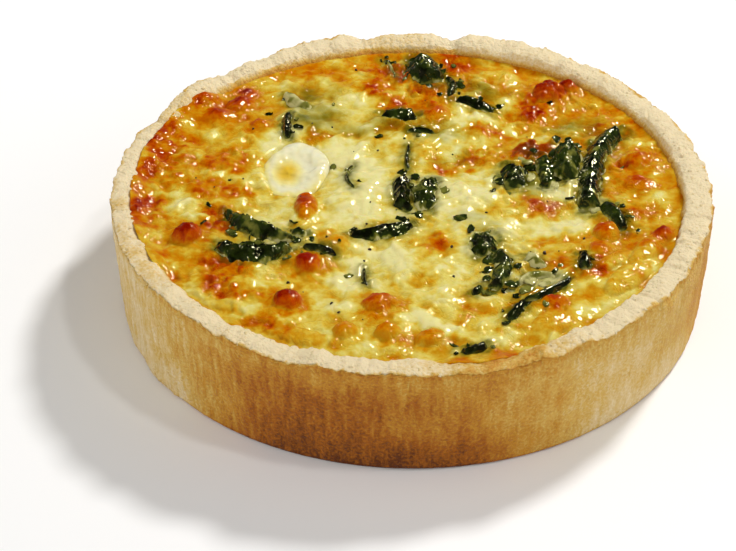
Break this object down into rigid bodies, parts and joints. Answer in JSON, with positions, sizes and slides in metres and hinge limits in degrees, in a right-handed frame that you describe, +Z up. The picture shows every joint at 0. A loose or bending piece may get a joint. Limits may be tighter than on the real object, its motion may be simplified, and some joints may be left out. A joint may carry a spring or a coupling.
{
  "type": "quiche",
  "caption": "Round individual quiche: a straight-sided shortcrust case filled with baked custard under browned cheese, with wilted spinach leaves and a round of soft cheese.",
  "frame": {"origin": "middle of the flat base, on the surface that the quiche stands on", "axes": "+Z up through the middle of the filling, -Y towards the viewer of the picture, +X to that viewer's right"},
  "size_m": [0.12, 0.1203, 0.0248],
  "materials": {
    "shortcrust": "dry, crumbly baked shortcrust pastry, golden with paler and browner streaks",
    "baked_filling": "glossy baked egg custard and melted cheese, yellow with browned blisters",
    "soft_cheese": "smooth melted soft white cheese, slightly translucent",
    "spinach": "wet, wrinkled wilted spinach leaf, dark green"
  },
  "bodies": {
    "root": {"cheese_round": "soft_cheese", "custard_filling": "baked_filling", "pastry_case": "shortcrust", "spinach_back_centre": "spinach", "spinach_back_clump": "spinach", "spinach_back_right": "spinach", "spinach_back_stalk": "spinach", "spinach_back_tail": "spinach", "spinach_centre_blade": "spinach", "spinach_centre_dark": "spinach", "spinach_centre_glossy": "spinach", "spinach_centre_shred": "spinach", "spinach_centre_upright": "spinach", "spinach_fore_clump": "spinach", "spinach_fore_dark": "spinach", "spinach_fore_end": "spinach", "spinach_fore_long": "spinach", "spinach_fore_loop": "spinach", "spinach_fore_small": "spinach", "spinach_fore_strip": "spinach", "spinach_fore_top": "spinach", "spinach_front_shred": "spinach", "spinach_left_fold": "spinach", "spinach_left_lower": "spinach", "spinach_left_small": "spinach", "spinach_left_tip": "spinach", "spinach_left_upper": "spinach", "spinach_left_upright": "spinach", "spinach_right_blade": "spinach", "spinach_right_clump": "spinach", "spinach_right_inner": "spinach", "spinach_right_link": "spinach", "spinach_right_roll": "spinach", "spinach_rim_scrap": "spinach", "spinach_ring_shred": "spinach"}
  },
  "joints": []
}
